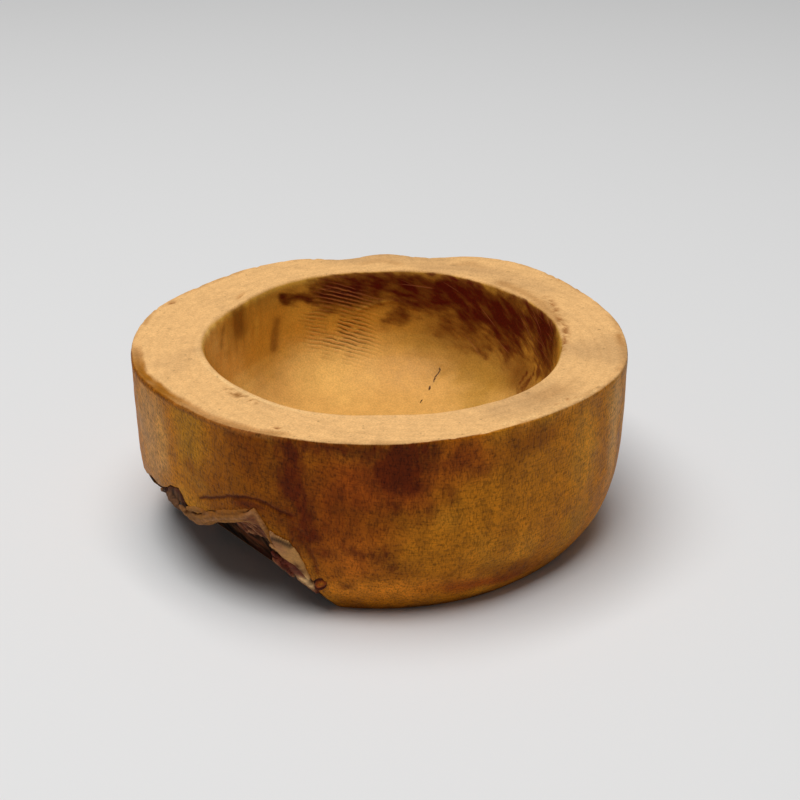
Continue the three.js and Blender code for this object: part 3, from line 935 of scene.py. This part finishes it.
# The undercut's ceiling: near-black painted shade of the void under the overhang, with bark fibres and marks
# over it
ceiling = layered(
    BARK_DARK_AND_SHADE,
    fibre_layers(fbm(across_grain(corners), (16, 3.2, 16), 3, 11), ((BARK_BROWN, 0.65, -0.1, 0.5),))
    + fibre_layers(fbm(corners, 14, 3, 12), ((BARK_RUST, 0.6, 0.0, 0.5),))
    + mark_layers(corners, body_tree, CEILING_MARKS),
)
colours = spread(*np.moveaxis(tint, -1, 0)) * (1 - is_ceiling) + ceiling * is_ceiling
aside, along = line_chart(*CRACK_ENDS)
split = spread(np.clip(aside, *CRACK_ASIDE), np.clip(along, *CRACK_ALONG), hollow_share)
scratched = hollow_share * ramp(hollow_dark, 0.2, 0.6)
wall_stains = wall_dark * wall_share * (1 - foot_share)
zones = spread(wall_share * (row >= foot_row), rim_share * (1 - hollow_share), hollow_share)
dress(carved, colours, {
    "zone": zones * (1 - is_ceiling),
    "chart": spread(theta[:, None] * CHART_RADIUS * everywhere, below_inner, everywhere * 0),
    "marks": spread(chatter, phase, scratched),
    "split": split * (1 - is_ceiling),
    "stains": spread(wall_stains, hollow_dark, foot_share) * (1 - is_ceiling),
})
carved.set_sharp_from_angle(angle=radians(SHARP_FROM))


def keep_largest_part(mesh):
    """Deletes the specks that melting leaves beside or inside a skin."""
    source = bmesh.new()
    source.from_mesh(mesh)
    left = set(source.verts)
    parts = []
    while left:
        part = [left.pop()]
        for corner in part:
            fresh = {edge.other_vert(corner) for edge in corner.link_edges} & left
            left -= fresh
            part += fresh
        parts.append(part)
    for part in sorted(parts, key=len)[:-1]:
        bmesh.ops.delete(source, geom=part, context="VERTS")
    source.to_mesh(mesh)
    source.free()


def add_ridge(source, own_tree, pixels, size, sink, tree=None):
    """Adds a lumpy round ridge along a line of the image, which may lie on another surface close by."""
    line = [at_pixel(tree or own_tree, pixel, sink) for pixel in dense_line(pixels)]
    line = [spot for spot in line if own_tree.find_nearest(Vector(spot) * MM)[3] < MELT_REACH * MM]
    line = dense_line(line, MELT_STEP)
    for k, spot in enumerate(line):
        taper = 0.3 + 0.7 * sin(pi * (k + 0.5) / len(line)) ** 0.5
        lumpy = size * taper * (1 + 0.14 * sin(1.3 * k) + 0.1 * sin(0.5 * k + 2))
        spot = Matrix.Translation(Vector(spot) * MM)
        bmesh.ops.create_icosphere(source, subdivisions=2, radius=lumpy * MM, matrix=spot)


def fused(name, node, ridges, voxel, rounds):
    """Copy of a CAD node with ridges melted into one skin with it."""
    source = bmesh.new()
    source.from_mesh(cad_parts[node].data)
    own_tree = cad_tree(node)
    for ridge in ridges:
        add_ridge(source, own_tree, *ridge)
    mesh = bpy.data.meshes.new(name)
    source.to_mesh(mesh)
    source.free()
    obj = put(name, mesh)
    remesh = obj.modifiers.new("skin", "REMESH")
    remesh.mode = "VOXEL"
    remesh.voxel_size = voxel * MM
    soften = obj.modifiers.new("soften", "SMOOTH")
    soften.factor = 0.5
    soften.iterations = rounds
    keep_largest_part(settle(obj))
    return obj


def swell(obj, amount):
    """Moves each corner along its normal by an amount in mm, but not under the floor."""
    mesh = obj.data
    normal = np.zeros(3 * len(mesh.vertices))
    mesh.vertices.foreach_get("normal", normal)
    moved = mesh_points(mesh) + normal.reshape(-1, 3) * np.broadcast_to(amount, len(mesh.vertices))[:, None]
    moved[:, 2] = np.maximum(moved[:, 2], 0)
    mesh.vertices.foreach_set("co", (moved * MM).ravel())
    mesh.update()
    return moved


def enter(obj, node, made):
    """Gives a piece its material, and puts it in the frame in place of its node."""
    obj.data.materials.clear()
    obj.data.materials.append(made)
    obj.data.polygons.foreach_set("material_index", [0] * len(obj.data.polygons))
    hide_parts(node)
    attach(obj, "root")


def bark_piece(name, node, slot, ridges, amount, fibre, seed, base, tones, marks,
               rough=1.0, voxel=0.28, rounds=4):
    """Layer of bark in place of its CAD node, swollen by an amount, with fibres of a given size."""
    obj = fused(name, node, ridges, voxel, rounds)
    turned = across_grain(mesh_points(obj.data))
    fibres = fbm(turned, fibre, 3, seed)
    points = swell(obj, amount + rough * (0.28 * fibres + 0.12 * fbm(turned, 1.4, 2, seed + 1)))
    layers = fibre_layers(fibres, tones) + mark_layers(points, cad_tree(node), marks)
    dress(obj.data, layered(base, layers), {})
    enter(obj, node, bark_material(slot, fibre, rough))


# Materials
class Field:
    """Number, vector or colour that a node of a material gives out. Its methods add nodes."""

    def __init__(self, made, socket=None):
        self.made = made
        self.socket = socket

    def node(self, kind, inputs, output=0, **settings):
        """Field of a new node, whose inputs are fields or plain values."""
        item = self.made.node_tree.nodes.new("ShaderNode" + kind)
        for key, value in settings.items():
            setattr(item, key, value)
        for key, value in inputs.items():
            if isinstance(value, Field):
                value.feed(item.inputs[key])
            else:
                item.inputs[key].default_value = value
        return Field(self.made, item.outputs[output])

    def feed(self, socket):
        self.made.node_tree.links.new(self.socket, socket)

    def joined(self, operation, other=0.0):
        return self.node("Math", {0: self, 1: other}, operation=operation)

    def __add__(self, other):
        return self.joined("ADD", other)

    def __sub__(self, other):
        return self.joined("SUBTRACT", other)

    def __mul__(self, other):
        return self.joined("MULTIPLY", other)

    def step(self, low, high, to_low=0.0, to_high=1.0):
        """Smooth step from one value to another, as the number goes from low to high."""
        inputs = {"Value": self, "From Min": low, "From Max": high, "To Min": to_low, "To Max": to_high}
        return self.node("MapRange", inputs, interpolation_type="SMOOTHSTEP")

    def noise(self, scale, stretch=(1, 1, 1), turn=(0, 0, 0), detail=4.0):
        """Noise at a vector, stretched along axes that are turned by angles in radians."""
        inputs = {"Vector": self, "Scale": tuple(1 / size for size in stretch), "Rotation": turn}
        mapped = self.node("Mapping", inputs, vector_type="TEXTURE")
        return self.node("TexNoise", {"Vector": mapped, "Scale": scale, "Detail": detail}, "Fac")

    def parts(self):
        """Three numbers of a vector."""
        outputs = self.node("SeparateXYZ", {"Vector": self}).socket.node.outputs
        return [Field(self.made, socket) for socket in outputs]

    def scaled(self, factor):
        return self.node("VectorMath", {0: self, "Scale": factor}, operation="SCALE")

    def under(self, tone, share):
        """Colour with a tone laid over it."""
        return self.node("Mix", {0: share, 6: self, 7: (*tone, 1)}, 2, data_type="RGBA")


def new_material(name):
    made = bpy.data.materials.new(name)
    made.use_nodes = True
    return made, made.node_tree.nodes["Principled BSDF"]


def object_coords(made):
    return Field(made).node("TexCoord", {}, "Object")


def read(made, name, output="Vector"):
    return Field(made).node("Attribute", {}, output, attribute_name=name)


def feed_shader(shader, colour, gloss, height, specular, strength, depth):
    """Links a colour, a roughness and a bump to a shader. The bump's depth is in metres."""
    colour.feed(shader.inputs["Base Color"])
    gloss.feed(shader.inputs["Roughness"])
    shader.inputs["Specular IOR Level"].default_value = specular
    bump = height.node("Bump", {"Height": height, "Strength": strength, "Distance": depth})
    bump.feed(shader.inputs["Normal"])


def bark_material(slot, fibre, rough=1.0):
    """Dull fibrous bark: fine threads along the fibres, and specks."""
    made, shader = new_material(slot)
    coords = object_coords(made)
    threads = coords.noise(2600, tuple(1 / size for size in fibre), (0, 0, FACING))
    specks = coords.noise(1500)
    shade = threads.step(0.3, 0.7, 1 - 0.38 * rough, 1 + 0.2 * rough) * specks.step(0.3, 0.7, 0.88, 1.1)
    gloss = specks.step(0.3, 0.7, 0.72, 0.92)
    colour = read(made, "tint", "Color").scaled(shade)
    feed_shader(shader, colour, gloss, threads + specks, specular=0.2, strength=0.5 * rough, depth=0.0003)
    return made


# Noises of the wood: the first seven are on the object in metres, the others on the chart of the hollow in mm
PORES = {"scale": 1800, "stretch": (1, 1, 0.4), "detail": 3}
HATCH = {"scale": 2000, "stretch": (0.16, 0.16, 1), "turn": (0.2, 0.15, 0), "detail": 2}
SPECKS = {"scale": 1700, "detail": 2}
RIM_DOTS = {"scale": 620, "detail": 1}
MOTTLE = {"scale": 230, "stretch": (1, 1, 0.6), "detail": 6}
RING_BENDS = {"scale": 45, "detail": 3}
WALL_EDGE = {"scale": 520, "stretch": (1, 1, 0.45), "detail": 8}
HOLLOW_EDGE = {"scale": 0.3, "stretch": (0.5, 1.4, 1), "turn": (0, 0, -0.35), "detail": 9}
HOLLOW_DEPTH = {"scale": 0.2, "stretch": (0.5, 1.2, 1), "turn": (0, 0, -0.5), "detail": 9}
RIDGE_BREAKS = {"scale": 0.35, "stretch": (0.5, 1, 1), "detail": 2}
CRACK_BENDS = {"scale": 0.5, "detail": 2}
SCRATCH_STRETCH = (0.05, 1.6, 1)
SCRATCHES = ((0.55, -0.4), (0.5, -0.62), (0.6, -0.1))

# Growth rings round an upright pith: their pitch, and how far noise turns them, in radians
PITH = (14, -9, 0)
RING_PITCH = 3.6
RING_WANDER = 14

# Crack: how far it bends aside, and its half widths at shares of the way along it
CRACK_WANDER = 2.4
CRACK_WIDTHS = (
    (0.02, 0), (0.06, 0.3), (0.36, 0.36), (0.4, 0), (0.48, 0), (0.52, 0.6),
    (0.58, 0.42), (0.62, 0), (0.86, 0), (0.9, 0.45), (0.98, 0.4), (0.995, 0),
)


def wood_grain(coords, on_side, on_top):
    """Shade of the wood, then three fields that it is made of: pores, specks and mottle."""
    share = on_side * 0.85 + 0.15
    pores = coords.noise(**PORES).step(0.44, 0.68, 0, 0.5) * share
    hatch = coords.noise(**HATCH).step(0.46, 0.68, 0, 0.3) * share
    specks = coords.noise(**SPECKS)
    dots = coords.noise(**RIM_DOTS).step(0.7, 0.78, 0, 0.3) * on_top
    mottle = coords.noise(**MOTTLE)
    clouds = mottle.step(0.3, 0.7, -1, 1) * (on_side * 0.11 + 0.05)
    shade = (on_side * 0.15 + 1.1 - pores - hatch) * specks.step(0.3, 0.7, 0.9, 1.09) - dots
    return shade * (clouds + 1.0), pores, specks, mottle


def ragged_stain(field, edge, rough, low, high, share):
    """Share of a dark stain, sharpened out of a soft field by a noise."""
    moved = (edge - 0.5) * rough * field.step(0, 0.2)
    return (field + moved).step(low, high, 0, share)


def stained(colour, coords, chart, wall_dark, hollow_dark):
    """Colour with the dark stains of the wall and the hollow laid over it."""
    wall_stain = ragged_stain(wall_dark, coords.noise(**WALL_EDGE), rough=1, low=0.06, high=1, share=0.97)
    hollow_edge = chart.noise(**HOLLOW_EDGE)
    brown = ragged_stain(hollow_dark, hollow_edge, rough=1, low=0.05, high=0.6, share=0.88)
    depth = chart.noise(**HOLLOW_DEPTH).step(0.34, 0.54, 0.58, 1)
    maroon = ragged_stain(hollow_dark, hollow_edge, rough=1.4, low=0.2, high=0.95, share=0.97)
    colour = colour.under(MAROON, wall_stain).under(HOLLOW_BROWN, brown)
    return colour.under(HOLLOW_MAROON, maroon * depth)


def growth_rings(coords, on_top, on_foot):
    """Share of the dark part of the growth rings: faint on the rim, plain on the foot."""
    inputs = {"Vector": coords, "Location": tuple(-MM * shift for shift in PITH), "Scale": (1, 1, 0)}
    from_pith = coords.node("Mapping", inputs)
    far = coords.node("VectorMath", {0: from_pith}, "Value", operation="LENGTH")
    turns = far * (tau / (RING_PITCH * MM)) + coords.noise(**RING_BENDS) * RING_WANDER
    return turns.joined("SINE").step(-0.2, 1) * (on_top * 0.07 + on_foot * 0.5)


def scratch_lines(chart, scratched):
    """Share of pale scratches at three slants."""
    first, second, third = [
        chart.noise(scale, SCRATCH_STRETCH, (0, 0, slant), detail=1).step(0.68, 0.73)
        for scale, slant in SCRATCHES
    ]
    return first.joined("MAXIMUM", second).joined("MAXIMUM", third) * scratched


def tool_ridges(chart, tooled, phase):
    """Shares of painted shade in the troughs and of painted highlight on the crests of the ridges on the back
    wall.
    """
    broken = chart.noise(**RIDGE_BREAKS)
    wave = ((phase + broken * 0.9) * (tau / RIDGE_PITCH)).joined("SINE")
    tooled = tooled * broken.step(0.3, 0.5)
    return wave.step(0, 0.8, 0, 0.75) * tooled, wave.step(-0.3, -0.9, 0, 0.5) * tooled


def crack_gap(chart, aside, along, hollowed):
    """Share of the crack's dark gap."""
    aside = aside + (chart.noise(**CRACK_BENDS) - 0.5) * CRACK_WANDER
    widths = along.node("ValToRGB", {"Fac": along})
    stops = widths.socket.node.color_ramp.elements
    for stop in stops:
        stop.color = (0, 0, 0, 1)
    for at, width in CRACK_WIDTHS:
        stops.new(at).color = (width, width, width, 1)
    return (aside.joined("ABSOLUTE") - widths).step(-0.14, 0.02, 0.9, 0) * hollowed


def wood_material():
    """Oiled wood: its grain and stains, growth rings, and the marks in the hollow, with painted shade and
    highlight on the tool ridges.
    """
    made, shader = new_material("root_wood")
    coords = object_coords(made)
    chart = read(made, "chart")
    on_side, on_top, inside = read(made, "zone").parts()
    tooled, phase, scratched = read(made, "marks").parts()
    wall_dark, hollow_dark, on_foot = read(made, "stains").parts()
    shade, pores, specks, mottle = wood_grain(coords, on_side, on_top)
    lines = scratch_lines(chart, scratched)
    ridge_shade, ridge_highlight = tool_ridges(chart, tooled, phase)
    colour = stained(read(made, "tint", "Color"), coords, chart, wall_dark, hollow_dark)
    colour = colour.under(RIM_BROWN, growth_rings(coords, on_top, on_foot)).scaled(shade)
    # The tool ridges get painted shade in their troughs and a painted highlight on their crests
    colour = colour.under(SCRATCH_PALE, lines * 0.45).under(TROUGH_SHADE, ridge_shade).under(CREST_HIGHLIGHT, ridge_highlight)
    colour = colour.under(CRACK_DARK, crack_gap(chart, *read(made, "split").parts()))
    gloss = mottle.step(0.3, 0.7, 0.4, 0.52) + on_top * 0.2 - inside * 0.06
    height = specks * 0.35 - pores - lines * 0.3 + (ridge_highlight - ridge_shade)
    feed_shader(shader, colour, gloss, height, specular=0.055, strength=0.35, depth=0.0004)
    return made


enter(bowl, "bowl_body", wood_material())

# Rolled lip: a ridge is its line, its size, how far it is sunk in, and perhaps another surface to lie on
LIP_SEAM = ((204, 510.6), (215, 511.7), (226, 512), (238, 511.7), (247, 509.6))
LIP_CREST_LEFT = ((184, 510), (190, 513.5), (198, 516), (206, 517), (217, 516.5))
LIP_CREST_RIGHT = ((228, 516), (238, 516.5), (247, 515.5), (252, 513.5))
LIP_RIDGES = (
    (((187, 508), (196, 508.5), (205, 511), (214, 513.5)), 0.8, 0.4, body_tree),
    (LIP_SEAM, 0.85, 0.7, body_tree),
    (LIP_CREST_LEFT + LIP_CREST_RIGHT, 0.75, 0.2),
    (((180, 506), (186, 512), (193, 517), (201, 519)), 0.8, 0.2),
)
LIP_EDGE_HIGHLIGHT = ((206, 518.5), (217, 518), (228, 517.5), (238, 518), (246, 516), (251, 512))
LIP_MARKS = (
    (BARK_BROWN, 0.55, ((184, 511), (197, 517)), 2.2),
    (BARK_BROWN, 0.7, ((193, 512), (198, 514), (204, 516)), 0.7),
    (BARK_HONEY, 1, LIP_SEAM, 1.8, LINE_STEP, body_tree),
    (BARK_HONEY, 0.95, ((210, 513), (222, 513), (236, 513), (246, 512)), 1.5),
    (BARK_HONEY, 0.95, ((259, 511), (265, 520), (270, 528), (274, 536)), 2, LINE_STEP, body_tree),
    (BARK_RUST, 0.9, ((251, 519), (256, 522), (260, 527)), 1.6),
    (BARK_RUST, 0.75, ((244, 521), (249, 518), (254, 516.5)), 1.5),
    # Painted highlight: the tan line along the lip's rolled lower edge
    (BARK_TAN, 0.95, LIP_EDGE_HIGHLIGHT, 0.7),
    (BARK_TAN, 0.9, ((251, 512), (254, 511.5), (258, 517), (264, 527)), 0.55),
    (BARK_TAN, 0.6, ((186, 509), (194, 508), (202, 511), (209, 515)), 0.6),
    # Painted highlight along the lower edge of the lip's left end
    (BARK_TAN, 0.7, ((183, 512), (190, 516.5), (198, 520), (206, 520)), 0.6),
)
bark_piece(
    "rolled_lip", "bark_lip", "pale_bark", LIP_RIDGES, amount=0.3, fibre=(3, 9, 3), seed=21, rough=0.7,
    base=BARK_OLIVE, tones=((BARK_BROWN, 0.5, -0.2, -0.6),), marks=LIP_MARKS,
)

# Left flake
LEFT_RIDGES = ((((166, 489), (171, 495.5), (176, 503.5), (180, 508)), 1.1, 0.0),)
LEFT_MARKS = (
    (DARK_RED, 0.7, ((166, 487), (174, 487), (181, 493), (184, 502)), 1.1),
    (BARK_TAN, 0.9, LEFT_CORNER, 1.6),
)
bark_piece(
    "left_flake", "bark_flake_left", "dark_bark", LEFT_RIDGES, amount=0.12, fibre=(2, 2, 7), seed=31,
    rough=0.7, base=BARK_DARK_AND_SHADE, tones=((BARK_BROWN, 0.85, -0.5, 0.3),), marks=LEFT_MARKS,
)

# Middle flake
MID_RIDGES = (
    (((238, 521), (244, 527), (250, 533)), 0.45, 0.0),
    (((243, 521), (250, 528), (256, 535)), 0.45, 0.0),
    (((249, 521), (255, 527), (261, 534)), 0.45, 0.0),
)
bark_piece(
    "mid_flake", "bark_flake_mid", "brown_bark", MID_RIDGES, amount=0.45, fibre=(5, 1.4, 5), seed=41,
    base=BARK_RUST, tones=((BARK_TAN, 0.6, 0.0, 0.5), (BARK_DARK_AND_SHADE, 0.5, -0.15, -0.5)), marks=(),
)

# Upper strip
UPPER_STRIP_RIDGES = ((((263, 543), (271, 545), (280, 551)), 0.3, 0.15),)
UPPER_MARKS = (
    (BARK_TAN, 0.9, ((266, 533), (274, 542), (280, 547)), 3),
    (BARK_RUST, 0.6, ((264, 537), (272, 541), (280, 545)), 0.8),
    # Painted shade: the dark line in the slit along the upper edge of this pale strip
    (BARK_DARK_AND_SHADE, 1, ((273, 538), (281, 541), (290, 545)), 1.05),
    (DARK_RED, 0.95, ((298, 565), (302, 570)), 1.5, DOTS),
    (BARK_RUST, 0.8, ((268, 549), (280, 556), (290, 565)), 0.7),
    (BARK_TIP, 0.9, ((305, 580),), 1.6),
)
bark_piece(
    "upper_strip", "bark_strip_upper", "pale_bark", UPPER_STRIP_RIDGES, amount=0.45, fibre=(4, 8, 4),
    seed=51, rough=0.35, voxel=0.18, rounds=12, base=BARK_PALE, tones=(), marks=UPPER_MARKS,
)

# Lower strip, with a painted highlight along its lower edge
LOWER_EDGE_HIGHLIGHT = ((262, 551), (270, 558), (280, 567), (290, 575), (298, 582))
LOWER_STRIP_RIDGES = (
    (((266, 547), (276, 555), (287, 563), (296, 572)), 0.5, 0.0),
    (((264, 550), (274, 558), (285, 567), (294, 575)), 0.5, 0.0),
)
LOWER_MARKS = (
    # Painted highlight: the thin pale line along the strip's lower edge
    (BARK_PALE, 0.4, LOWER_EDGE_HIGHLIGHT, 0.6),
    (BARK_TIP, 0.9, ((303, 578), (307, 580), (311, 584)), 2, DOTS),
)
bark_piece(
    "lower_strip", "bark_strip_lower", "red_bark", LOWER_STRIP_RIDGES, amount=0.6, fibre=(2, 8, 6),
    seed=61, base=BARK_RED, tones=((BARK_DARK_AND_SHADE, 0.6, -0.15, -0.5), (BARK_TAN, 0.12, 0.2, 0.5)),
    marks=LOWER_MARKS,
)

# Knot: a dome inside a groove. Its oval is 1 at its rim
KNOT_GROOVE = 0.78
KNOT_GROOVE_WIDTH = 0.14
KNOT_FIBRE = (1.5, 1.5, 1.5)
KNOT_TONES = ((OCHRE, 0.6, 0.5, 0.2), (DARK_RED, 0.9, 0.55, 0.8), (BROWN, 0.5, 0.25, 0.05))
knot = fused("knot", "tip_knot", ridges=(), voxel=0.22, rounds=4)
knot_out = np.array((cos(KNOT_FACING), sin(KNOT_FACING), 0))
knot_side = np.array((-sin(KNOT_FACING), cos(KNOT_FACING), 0))
knot_at = (np.array(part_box("tip_knot")) / MM).mean(0)
knot_at[2] = KNOT_HEIGHT
offset = mesh_points(knot.data) - knot_at
level, rise = offset @ knot_side, offset[:, 2]
long = (level * cos(KNOT_TILT) + rise * sin(KNOT_TILT)) / KNOT_HALF[0]
short = (rise * cos(KNOT_TILT) - level * sin(KNOT_TILT)) / KNOT_HALF[1]
oval = np.hypot(long, short) + 0.16 * fbm(offset, 1.5, 2, 71)
groove = np.exp(-((oval - KNOT_GROOVE) / KNOT_GROOVE_WIDTH) ** 2)
dome = 0.35 * ramp(oval, 0.7, 0.1) - 0.3 * groove
swell(knot, 0.25 + ramp(offset @ knot_out, 0, 1.2) * dome)
dress(knot.data, layered(RED_BROWN, fibre_layers(oval, KNOT_TONES)), {})
enter(knot, "tip_knot", bark_material("knot_wood", KNOT_FIBRE))

# Floor, light and camera, in metres
FLOOR_CORNERS = ((-4, -4, 0), (4, -4, 0), (4, 4, 0), (-4, 4, 0))
FLOOR_GREY = 0.78
FLOOR_ROUGHNESS = 0.9
WORLD_STRENGTH = 0.1
KEY_AT = Vector((-0.25, -0.2, 2.0))
KEY_TARGET = Vector((0, 0, 0.04))
KEY_SIZE = 1.5
KEY_POWER = 42
floor = mesh_object("floor", np.array(FLOOR_CORNERS) / MM, [(0, 1, 2, 3)])
pale, shader = new_material("pale_floor")
shader.inputs["Base Color"].default_value = (FLOOR_GREY, FLOOR_GREY, FLOOR_GREY, 1)
shader.inputs["Roughness"].default_value = FLOOR_ROUGHNESS
floor.data.materials.append(pale)

scene = bpy.context.scene
scene.view_settings.view_transform = "Standard"
world = bpy.data.worlds.new("studio")
scene.world = world
world.use_nodes = True
background = world.node_tree.nodes["Background"]
background.inputs["Color"].default_value = (1, 1, 1, 1)
background.inputs["Strength"].default_value = WORLD_STRENGTH

key_data = bpy.data.lights.new("key", "AREA")
key_data.shape = "SQUARE"
key_data.size = KEY_SIZE
key_data.energy = KEY_POWER
key = put("key", key_data)
key.location = KEY_AT
key.rotation_euler = (KEY_TARGET - KEY_AT).to_track_quat("-Z", "Y").to_euler()

camera_data = bpy.data.cameras.new("camera")
camera_data.lens = LENS
camera_data.sensor_width = SENSOR
camera = put("camera", camera_data)
camera.location = CAMERA_AT
camera.rotation_euler = (CAMERA_PITCH, 0, 0)
scene.camera = camera
